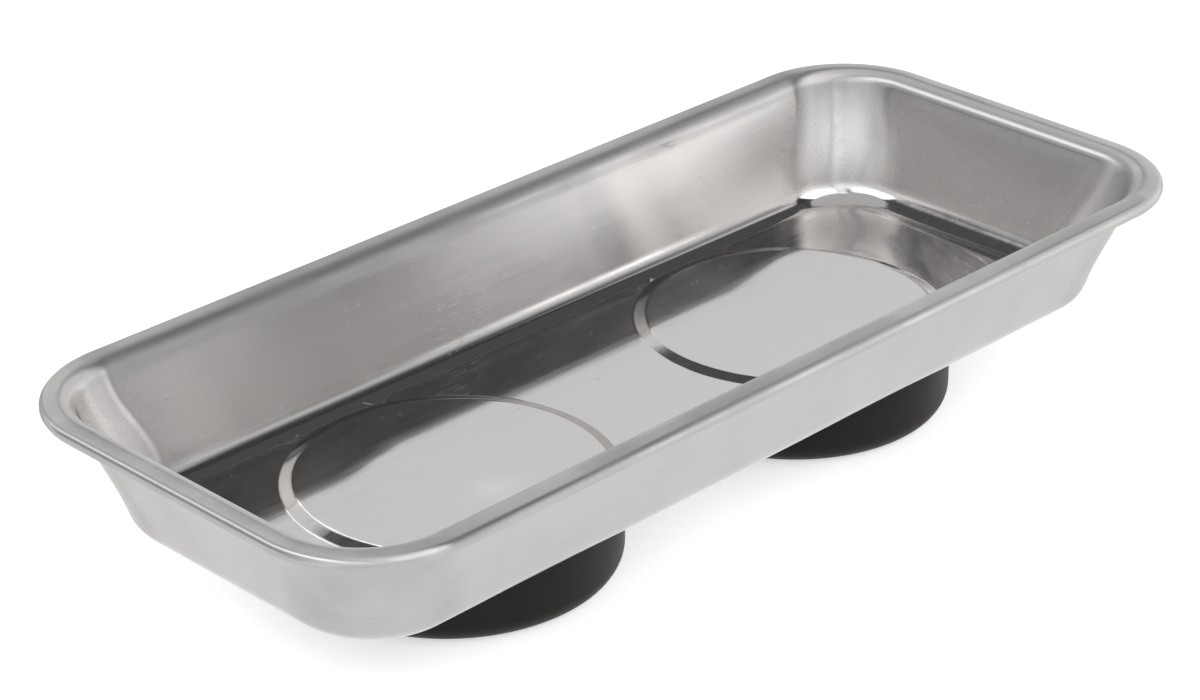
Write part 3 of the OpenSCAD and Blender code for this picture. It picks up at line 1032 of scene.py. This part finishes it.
@dataclass(frozen=True)
class StainlessFinish:
    """Rolled bright stainless: mirror flats with a faint lengthwise grain, and a satin worked rim.

    A pair for the smudges holds their amount on the mirror flats, and what full satin adds to it.
    """

    base: Triple = (0.612, 0.598, 0.59)
    rubbed: Triple = (0.556, 0.542, 0.535)
    flat_rough: float = 0.045
    satin_rough: float = 0.3
    least_rough: float = 0.03
    grain_rough: float = 0.06
    streak_rough: float = 0.07
    smudge_rough: Pair = (0.012, 0.06)
    scratch_rough: float = 0.18
    smudge_tone: Pair = (0.1, 0.5)
    scratch_tone: float = 0.3
    stretch: float = 1.0
    crown_slope: float = 0.055
    crown_bends: tuple[Triple, ...] = (
        (48 * MM, 66 * MM, 100 * MM),
        (2 * MM, 12 * MM, 32 * MM),
    )
    level_normal: Pair = (0.86, 0.96)
    grain_height: float = 0.00022 * MM
    mottle_height: float = 0.0003 * MM
    scratch_height: float = 0.0012 * MM

    def dress(self, surface: SurfaceSketch) -> None:
        """Dress the surface.

        Args:
            surface: Sketch of the material.
        """
        normal = surface.add("ShaderNodeNewGeometry").outputs["Normal"]
        across_grain = surface.vector("CROSS_PRODUCT", normal, (1, 0, 0)).outputs["Vector"]
        surface.set(Metallic=1.0, Anisotropic=self.stretch, Tangent=across_grain)
        satin = surface.add("ShaderNodeAttribute", attribute_name="satin").outputs["Fac"]
        grain = surface.show(Effect.GRAIN, Lines_per_metre=2600.0, Stretch=45.0)
        streaks = surface.show(Effect.GRAIN, Lines_per_metre=420.0, Stretch=30.0)
        smudge = surface.show(Effect.MOTTLE, Blotches_per_metre=70.0, Contrast=0.22)
        peel = surface.show(Effect.MOTTLE, Blotches_per_metre=900.0, Contrast=0.3)
        along = surface.show(Effect.SCRATCHES, Lines_per_metre=900.0, Width=0.008, Share=0.25)
        across = surface.show(Effect.SCRATCHES, Turn=0.7, Lines_per_metre=420.0, Width=0.008, Share=0.1)
        lines = surface.calc("MAXIMUM", along, across)
        scratched = surface.calc("ADD", lines, self.local_marks(surface), clamp=True)
        dull_flat, dull_satin = self.smudge_rough
        rough = surface.total(
            self.flat_rough,
            surface.times(satin, self.satin_rough - self.flat_rough),
            surface.swing(grain, self.grain_rough),
            surface.swing(streaks, self.streak_rough),
            surface.times(smudge, surface.calc("MULTIPLY_ADD", satin, dull_satin, dull_flat)),
            surface.times(scratched, self.scratch_rough),
        )
        surface.set(Roughness=surface.calc("MAXIMUM", rough, self.least_rough))
        tone_flat, tone_satin = self.smudge_tone
        dulled = surface.times(smudge, surface.calc("MULTIPLY_ADD", satin, tone_satin, tone_flat))
        rubbed = surface.calc("ADD", dulled, surface.times(scratched, self.scratch_tone), clamp=True)
        surface.colour(self.base, (rubbed, self.rubbed))
        surface.relief(
            surface.times(grain, self.grain_height),
            surface.times(peel, surface.times(satin, self.mottle_height)),
            surface.times(scratched, -self.scratch_height),
            self.crown(surface, normal),
        )

    def crown(self, surface: SurfaceSketch, normal: bpy.types.NodeSocket) -> bpy.types.NodeSocket:
        """Add the very shallow dish that pressing leaves in the floor, as a height.

        Args:
            surface: Sketch of the material.
            normal: Smooth normal of the surface.

        Returns:
            The height, level in the middle and on everything but the floor.
        """
        parts, facing = surface.add("ShaderNodeSeparateXYZ"), surface.add("ShaderNodeSeparateXYZ")
        surface.feed(parts.inputs[0], surface.place)
        surface.feed(facing.inputs[0], normal)
        heights = []
        for axis, (start, full, end) in enumerate(self.crown_bends):
            away = surface.calc("MINIMUM", surface.calc("ABSOLUTE", parts.outputs[axis]), end)
            past_start = surface.calc("MAXIMUM", surface.calc("SUBTRACT", away, start), 0.0)
            bent = surface.calc("MINIMUM", past_start, full - start)
            curve = self.crown_slope / (2 * (full - start))
            bowl = surface.times(surface.times(bent, bent), curve)
            past_bend = surface.calc("MAXIMUM", surface.calc("SUBTRACT", away, full), 0.0)
            heights.append(surface.calc("MULTIPLY_ADD", past_bend, self.crown_slope, bowl))
        level = surface.ease(facing.outputs[2], *self.level_normal)
        return surface.times(surface.total(*heights), level)

    @staticmethod
    def local_marks(surface: SurfaceSketch) -> bpy.types.NodeSocket:
        """Add the marks that sit in one place each.

        Args:
            surface: Sketch of the material.

        Returns:
            The mask of all marks.
        """
        scratches = {"Lines_per_metre": 700.0, "Stretch": 9.0, "Width": 0.03, "Share": 0.9}
        specks = {"Cells_per_metre": 900.0, "Size": 0.45, "Share": 0.5}
        masks = []
        for mark in MARKS:
            where = surface.show(Effect.PATCH, Middle=mark.middle, Reach=mark.reach)
            if mark.effect is Effect.SPECKS:
                what = surface.show(mark.effect, **specks)
            else:
                what = surface.show(mark.effect, Turn=mark.turn, **scratches)
            masks.append(surface.times(surface.times(where, what), mark.weight))
        return surface.total(*masks)


@dataclass(frozen=True)
class RubberFinish:
    """Moulded black rubber with a fine skin, a faint bloom and a little dust."""

    base: Triple = (0.0105, 0.0083, 0.0073)
    bloom: Triple = (0.0165, 0.0138, 0.0125)
    dust: Triple = (0.16, 0.15, 0.14)
    shine: float = 0.2
    rough: float = 0.46
    bloom_rough: float = 0.08
    scuff_rough: float = 0.12
    skin_rough: float = 0.12
    wear_tone: float = 0.1
    dust_tone: float = 0.35
    skin_height: float = 0.012 * MM

    def dress(self, surface: SurfaceSketch) -> None:
        """Dress the surface.

        Args:
            surface: Sketch of the material.
        """
        skin = surface.noise(surface.place, 2600.0, 2.0)
        bloom = surface.show(Effect.MOTTLE, Blotches_per_metre=110.0, Contrast=0.2)
        dust = surface.show(Effect.SPECKS, Cells_per_metre=700.0, Size=0.12, Share=0.12)
        scuffs = surface.show(Effect.SCRATCHES, Turn=0.5, Lines_per_metre=500.0, Width=0.012, Share=0.2)
        worn = surface.times(surface.show(Effect.WEAR, Reach=0.0005), self.wear_tone)
        dusty = surface.times(dust, self.dust_tone)
        surface.colour(self.base, (bloom, self.bloom), (worn, self.dust), (dusty, self.dust))
        rough = surface.total(
            self.rough,
            surface.times(bloom, self.bloom_rough),
            surface.times(scuffs, self.scuff_rough),
            surface.swing(skin, self.skin_rough),
        )
        surface.set(Specular_IOR_Level=self.shine, Roughness=rough)
        surface.relief(surface.times(skin, self.skin_height), surface.times(scuffs, -self.skin_height))


@dataclass(frozen=True)
class PlatedFinish:
    """Zinc plate on steel: a cool grey with spangled passivation and bright rubbed edges."""

    base: Triple = (0.62, 0.635, 0.645)
    passive: Triple = (0.5, 0.53, 0.56)
    rubbed: Triple = (0.78, 0.78, 0.77)
    rough: float = 0.3
    bloom_rough: float = 0.12
    pit_rough: float = 0.2
    wear_rough: float = -0.1
    grain_rough: float = 0.1
    grain_height: float = 0.002 * MM

    def dress(self, surface: SurfaceSketch) -> None:
        """Dress the surface.

        Args:
            surface: Sketch of the material.
        """
        bloom = surface.show(Effect.MOTTLE, Blotches_per_metre=240.0, Contrast=0.25)
        grain = surface.show(Effect.GRAIN, Lines_per_metre=3200.0, Stretch=5.0)
        pits = surface.show(Effect.SPECKS, Cells_per_metre=1400.0, Size=0.2, Share=0.15)
        wear = surface.show(Effect.WEAR, Reach=0.0004)
        scuffs = surface.show(Effect.SCRATCHES, Turn=1.1, Lines_per_metre=900.0, Width=0.014, Share=0.3)
        bright = surface.calc("MAXIMUM", wear, scuffs)
        surface.colour(self.base, (bloom, self.passive), (bright, self.rubbed))
        rough = surface.total(
            self.rough,
            surface.times(bloom, self.bloom_rough),
            surface.times(pits, self.pit_rough),
            surface.times(wear, self.wear_rough),
            surface.swing(grain, self.grain_rough),
        )
        surface.set(Metallic=1.0, Roughness=rough)
        surface.relief(surface.times(grain, self.grain_height), surface.times(pits, -2 * self.grain_height))


@dataclass(frozen=True)
class FerriteFinish:
    """Sintered ferrite: charcoal, with lapping marks, pores and chipped paler edges."""

    base: Triple = (0.036, 0.036, 0.039)
    powder: Triple = (0.062, 0.061, 0.062)
    chipped: Triple = (0.11, 0.108, 0.105)
    rough: float = 0.52
    powder_rough: float = 0.12
    pore_rough: float = 0.2
    lapped_rough: float = 0.2
    pore_depth: float = 0.03 * MM

    def dress(self, surface: SurfaceSketch) -> None:
        """Dress the surface.

        Args:
            surface: Sketch of the material.
        """
        powder = surface.show(Effect.MOTTLE, Blotches_per_metre=160.0, Contrast=0.2)
        lapped = surface.show(Effect.GRAIN, Lines_per_metre=2600.0, Stretch=14.0)
        pores = surface.show(Effect.SPECKS, Cells_per_metre=1100.0, Size=0.22, Share=0.25)
        chips = surface.show(Effect.WEAR, Reach=0.0006)
        surface.colour(self.base, (powder, self.powder), (chips, self.chipped))
        rough = surface.total(
            self.rough,
            surface.times(powder, self.powder_rough),
            surface.times(pores, self.pore_rough),
            surface.swing(lapped, self.lapped_rough),
        )
        surface.set(Roughness=rough)
        surface.relief(surface.times(pores, -self.pore_depth), surface.times(lapped, self.pore_depth / 8))


@dataclass(frozen=True)
class PlasticFinish:
    """Natural nylon of the centring bush: milky, with flow marks and a fine moulded skin."""

    base: Triple = (0.68, 0.655, 0.59)
    flow: Triple = (0.6, 0.57, 0.5)
    dirt: Triple = (0.12, 0.11, 0.1)
    milky: float = 0.15
    milky_reach: float = 0.002
    rough: float = 0.38
    flow_rough: float = 0.1
    dirt_tone: float = 0.5
    skin_height: float = 0.006 * MM

    def dress(self, surface: SurfaceSketch) -> None:
        """Dress the surface.

        Args:
            surface: Sketch of the material.
        """
        flow = surface.show(Effect.MOTTLE, Blotches_per_metre=180.0, Contrast=0.25)
        skin = surface.noise(surface.place, 2200.0, 2.0)
        specks = surface.show(Effect.SPECKS, Cells_per_metre=900.0, Size=0.12, Share=0.06)
        surface.colour(self.base, (flow, self.flow), (surface.times(specks, self.dirt_tone), self.dirt))
        rough = surface.total(self.rough, surface.times(flow, self.flow_rough))
        surface.set(Subsurface_Weight=self.milky, Subsurface_Scale=self.milky_reach, Roughness=rough)
        surface.relief(surface.times(skin, self.skin_height))


@dataclass
class MagnetFoot:
    """One magnet foot: its new boot and stud, and the parts that keep their CAD meshes."""

    side: str
    axis: Pair
    pan: PressedPan
    finishes: dict[Finish, bpy.types.Material]

    def build(self) -> list[bpy.types.Object]:
        """Build and dress the foot.

        Returns:
            Every piece of the foot.
        """
        low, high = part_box(f"{self.side}_weld_stud")
        boot = RubberBoot(self.side, self.axis, self.pan.boot_r, self.pan).build()
        stud = ThreadedStud(self.side, self.axis, low.z, high.z).build()
        place_piece(boot, f"{self.side}_rubber_boot", Finish.RUBBER, self.finishes)
        place_piece(stud, f"{self.side}_weld_stud", Finish.ZINC, self.finishes)
        carried = [self.dress(name, finish) for name, finish in CARRIED_NODES.items()]
        return [boot, stud, *carried]

    def dress(self, name: str, finish: Finish) -> bpy.types.Object:
        """Give a part that keeps its CAD mesh its finish.

        Args:
            name: Name of the part, without its side.
            finish: Finish of the part.

        Returns:
            The dressed part.
        """
        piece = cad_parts[f"{self.side}_{name}"]
        if not piece.material_slots:
            piece.data.materials.append(None)
        for slot in piece.material_slots:
            slot.material = self.finishes[finish]
        return piece


def place_piece(
    piece: bpy.types.Object, node: str, finish: Finish, finishes: dict[Finish, bpy.types.Material]
) -> None:
    """Give a new piece its finish, and let it stand for its CAD node.

    Args:
        piece: The new piece.
        node: CAD node that it takes the place of.
        finish: Finish of the piece.
        finishes: Materials of all finishes.
    """
    piece.data.materials.append(finishes[finish])
    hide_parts(node)
    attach(piece, "root")


@dataclass(frozen=True)
class StudioCamera:
    """Camera at the viewing angle of the photograph, with values that a fit to its outlines gave."""

    azimuth: float = math.radians(-44.6234)
    elevation: float = math.radians(26.8242)
    distance: float = 713.557 * MM
    target: Triple = (7.007 * MM, 17.374 * MM, 20 * MM)
    focal_px: float = 3447.22
    frame_px: Pair = (1200, 700)
    roll: float = -0.0109026
    sensor_mm: float = 36

    def build(self) -> bpy.types.Object:
        """Make the camera and set it as the scene's own."""
        level, up = math.cos(self.elevation), math.sin(self.elevation)
        back = Vector((math.sin(self.azimuth) * level, -math.cos(self.azimuth) * level, up))
        right = (-back).cross(Vector((0, 0, 1))).normalized()
        above = right.cross(-back)
        c, s = math.cos(self.roll), math.sin(self.roll)
        axes = (c * right + s * above, c * above - s * right, back)
        data = bpy.data.cameras.new("photo_camera")
        data.sensor_fit = "HORIZONTAL"
        data.sensor_width = self.sensor_mm
        data.lens = self.focal_px * self.sensor_mm / self.frame_px[0]
        camera = bpy.data.objects.new("photo_camera", data)
        turn = Matrix((axes[0], axes[1], axes[2])).transposed().to_4x4()
        camera.matrix_world = Matrix.Translation(Vector(self.target) + back * self.distance) @ turn
        bpy.context.scene.collection.objects.link(camera)
        bpy.context.scene.camera = camera
        return camera


@dataclass(frozen=True)
class SkyPanel:
    """Soft-edged bright or dark panel of the surroundings, in degrees from +X and from level."""

    azimuth: float
    elevation: float
    half_width: float
    half_height: float
    softness: float
    strength: float


@dataclass(frozen=True)
class StudioSky:
    """Surroundings that the steel mirrors: a white sweep, a dim band, a ceiling and soft panels.

    These are not a plain studio, and their values were not chosen by hand. A least-squares fit
    made them from the tones of the steel in the photograph, and a few were then moved.
    A panel of negative strength takes light away, and no direction goes below the least light.
    """

    least: float = 0.06
    sweep: float = 0.90
    sweep_top: Pair = (42.3, 44.4)
    band: float = 0.10
    ceiling: float = 0.63
    ceiling_foot: Pair = (58.4, 61.5)
    panels: tuple[SkyPanel, ...] = (
        SkyPanel(-124.9, 42.6, 9.0, 22.4, 4.5, 1.20),
        SkyPanel(-47.8, 11.0, 4.2, 6.8, 1.8, 2.60),
        SkyPanel(65.0, 30.2, 14.6, 4.8, 2.5, 1.70),
        SkyPanel(177.1, 48.9, 40.0, 10.3, 3.0, 2.40),
        SkyPanel(111.8, 9.0, 55.9, 7.1, 7.9, -0.90),
        SkyPanel(-43.2, 39.8, 12.5, 7.6, 8.0, -0.84),
        SkyPanel(-81.3, 48.9, 32.6, 12.0, 1.8, 2.49),
        SkyPanel(-52.7, 8.8, 3.0, 11.3, 1.6, -0.84),
        SkyPanel(-20.1, 5.7, 22.5, 9.2, 1.9, 0.83),
        SkyPanel(134.1, 30.1, 8.4, 12.6, 2.6, -0.81),
        SkyPanel(-123.0, 6.9, 36.9, 10.5, 2.2, -0.70),
    )

    def panel_group(self) -> bpy.types.NodeTree:
        """Build the node group of one panel."""
        sketch, given, result = SharedEffects.start(
            "sky_panel", "Light", Azimuth=0.0, Elevation=0.0, Middle_azimuth=0.0, Middle_elevation=0.0,
            Half_width=10.0, Half_height=10.0, Softness=4.0, Strength=1.0,
        )
        off = sketch.calc("SUBTRACT", given["Azimuth"], given["Middle_azimuth"])
        wide = sketch.calc("ABSOLUTE", sketch.calc("WRAP", off, 180.0, -180.0))
        high = sketch.calc("ABSOLUTE", sketch.calc("SUBTRACT", given["Elevation"], given["Middle_elevation"]))
        shares = []
        for away, half in ((wide, given["Half_width"]), (high, given["Half_height"])):
            outer = sketch.calc("ADD", half, given["Softness"])
            shares.append(sketch.ease(away, outer, sketch.calc("SUBTRACT", half, given["Softness"])))
        inside = sketch.calc("MULTIPLY", shares[0], shares[1])
        sketch.feed(result, sketch.calc("MULTIPLY", inside, given["Strength"]))
        return sketch.tree

    def build(self) -> bpy.types.World:
        """Make the world, white to the camera and graded to everything else.

        Returns:
            The scene's world.
        """
        world = bpy.data.worlds.new("studio_sky")
        world.use_nodes = True
        bpy.context.scene.world = world
        sketch = NodeSketch(world.node_tree)
        background = world.node_tree.nodes["Background"]
        background.inputs["Color"].default_value = (1, 1, 1, 1)
        way = sketch.add("ShaderNodeTexCoord").outputs["Generated"]
        parts = sketch.add("ShaderNodeSeparateXYZ")
        sketch.feed(parts.inputs[0], way)
        degrees = math.degrees(1)
        azimuth = sketch.calc("MULTIPLY", sketch.calc("ARCTAN2", parts.outputs[1], parts.outputs[0]), degrees)
        elevation = sketch.calc("MULTIPLY", sketch.calc("ARCSINE", parts.outputs[2]), degrees)
        low = sketch.ease(elevation, self.sweep_top[1], self.sweep_top[0])
        high = sketch.ease(elevation, self.ceiling_foot[0], self.ceiling_foot[1])
        light = sketch.total(
            self.band,
            sketch.calc("MULTIPLY", low, self.sweep - self.band),
            sketch.calc("MULTIPLY", high, self.ceiling - self.band),
        )
        group = self.panel_group()
        for panel in self.panels:
            added = sketch.effect(
                group, Azimuth=azimuth, Elevation=elevation, Middle_azimuth=panel.azimuth,
                Middle_elevation=panel.elevation, Half_width=panel.half_width, Half_height=panel.half_height,
                Softness=panel.softness, Strength=panel.strength,
            )
            light = sketch.calc("ADD", light, added)
        seen = sketch.add("ShaderNodeLightPath").outputs["Is Camera Ray"]
        shown = sketch.add("ShaderNodeMix", data_type="FLOAT")
        sketch.feed(shown.inputs[0], seen)
        sketch.feed(shown.inputs[2], sketch.calc("MAXIMUM", light, self.least))
        shown.inputs[3].default_value = 1.0
        sketch.feed(background.inputs["Strength"], shown.outputs[0])
        return world


@dataclass(frozen=True)
class StudioFloor:
    """Plain pale floor that shows white and keeps the tray's soft shadow."""

    radius: float = 4.0
    sink: float = 0.05 * MM
    colour: Triple = (0.8, 0.8, 0.8)
    shown_light: float = 0.56
    mirrored_light: float = 0.96
    steps: int = 96

    def build(self) -> bpy.types.Object:
        """Make the floor and mark it as the stage.

        Returns:
            The floor.
        """
        work = bmesh.new()
        bmesh.ops.create_circle(work, cap_ends=True, segments=self.steps, radius=self.radius)
        mesh = bpy.data.meshes.new("studio_floor")
        work.to_mesh(mesh)
        work.free()
        floor = bpy.data.objects.new("studio_floor", mesh)
        floor.location.z = -self.sink
        mesh.materials.append(self.material())
        bpy.context.scene.collection.objects.link(floor)
        return floor

    def material(self) -> bpy.types.Material:
        """Make the floor's material.

        Returns:
            A pale matt paper that glows a little to the camera, and evenly in metal and glass.
        """
        made = bpy.data.materials.new("studio_paper")
        made.use_nodes = True
        tree = made.node_tree
        sketch = NodeSketch(tree)
        tree.nodes.remove(tree.nodes["Principled BSDF"])
        leave = tree.nodes["Material Output"]
        path = sketch.add("ShaderNodeLightPath")
        paper = sketch.add("ShaderNodeBsdfDiffuse")
        paper.inputs["Color"].default_value = (*self.colour, 1)
        glow, mirrored = sketch.add("ShaderNodeEmission"), sketch.add("ShaderNodeEmission")
        shown = sketch.calc("MULTIPLY", path.outputs["Is Camera Ray"], self.shown_light)
        sketch.feed(glow.inputs["Strength"], shown)
        mirrored.inputs["Strength"].default_value = self.mirrored_light
        lit = sketch.add("ShaderNodeAddShader")
        sketch.feed(lit.inputs[0], paper.outputs[0])
        sketch.feed(lit.inputs[1], glow.outputs[0])
        through = sketch.calc("MAXIMUM", path.outputs["Is Glossy Ray"], path.outputs["Is Transmission Ray"])
        chosen = sketch.add("ShaderNodeMixShader")
        sketch.feed(chosen.inputs[0], through)
        sketch.feed(chosen.inputs[1], lit.outputs[0])
        sketch.feed(chosen.inputs[2], mirrored.outputs[0])
        sketch.feed(leave.inputs["Surface"], chosen.outputs[0])
        return made


@dataclass(frozen=True)
class Studio:
    """Everything round the object: floor, surroundings that light it, and camera."""

    camera: StudioCamera = StudioCamera()
    sky: StudioSky = StudioSky()
    floor: StudioFloor = StudioFloor()

    def build(self) -> None:
        """Make the whole studio."""
        self.camera.build()
        self.sky.build()
        self.floor.build()


def make_finishes() -> dict[Finish, bpy.types.Material]:
    """Make the material of every finish, on one set of shared effects."""
    effects = SharedEffects()
    dressers = {
        Finish.STAINLESS: StainlessFinish(),
        Finish.RUBBER: RubberFinish(),
        Finish.FERRITE: FerriteFinish(),
        Finish.ZINC: PlatedFinish(),
        Finish.PLASTIC: PlasticFinish(),
    }
    surfaces = {finish: SurfaceSketch(finish, effects) for finish in dressers}
    for finish, dresser in dressers.items():
        dresser.dress(surfaces[finish])
    return {finish: surface.made for finish, surface in surfaces.items()}


def make_pan() -> PressedPan:
    """Read the tray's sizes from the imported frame."""
    low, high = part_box("tray")
    boots = [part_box(f"{side}_rubber_boot") for side in SIDES]
    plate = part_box("left_pole_plate")
    feet = [((b[0].x + b[1].x) / 2, (b[0].y + b[1].y) / 2) for b in boots]
    return PressedPan(
        high.x - low.x, high.y - low.y, high.z, low.z, feet,
        (boots[0][1].x - boots[0][0].x) / 2, (plate[1].x - plate[0].x) / 2, plate[1].z,
    )


def main() -> None:
    """Build the object, its finishes and the studio round it."""
    logging.basicConfig(level=logging.INFO, format="%(message)s")
    bpy.context.scene.view_settings.view_transform = "Standard"
    Studio().build()
    finishes = make_finishes()
    pan = make_pan()
    tray = pan.build()
    place_piece(tray, "tray", Finish.STAINLESS, finishes)
    pieces = [tray]
    for side, axis in zip(SIDES, pan.feet):
        pieces += MagnetFoot(side, axis, pan, finishes).build()
    for piece in pieces:
        LOG.info("%s: %d faces", piece.name, len(piece.data.polygons))


if __name__ == "__main__":
    main()
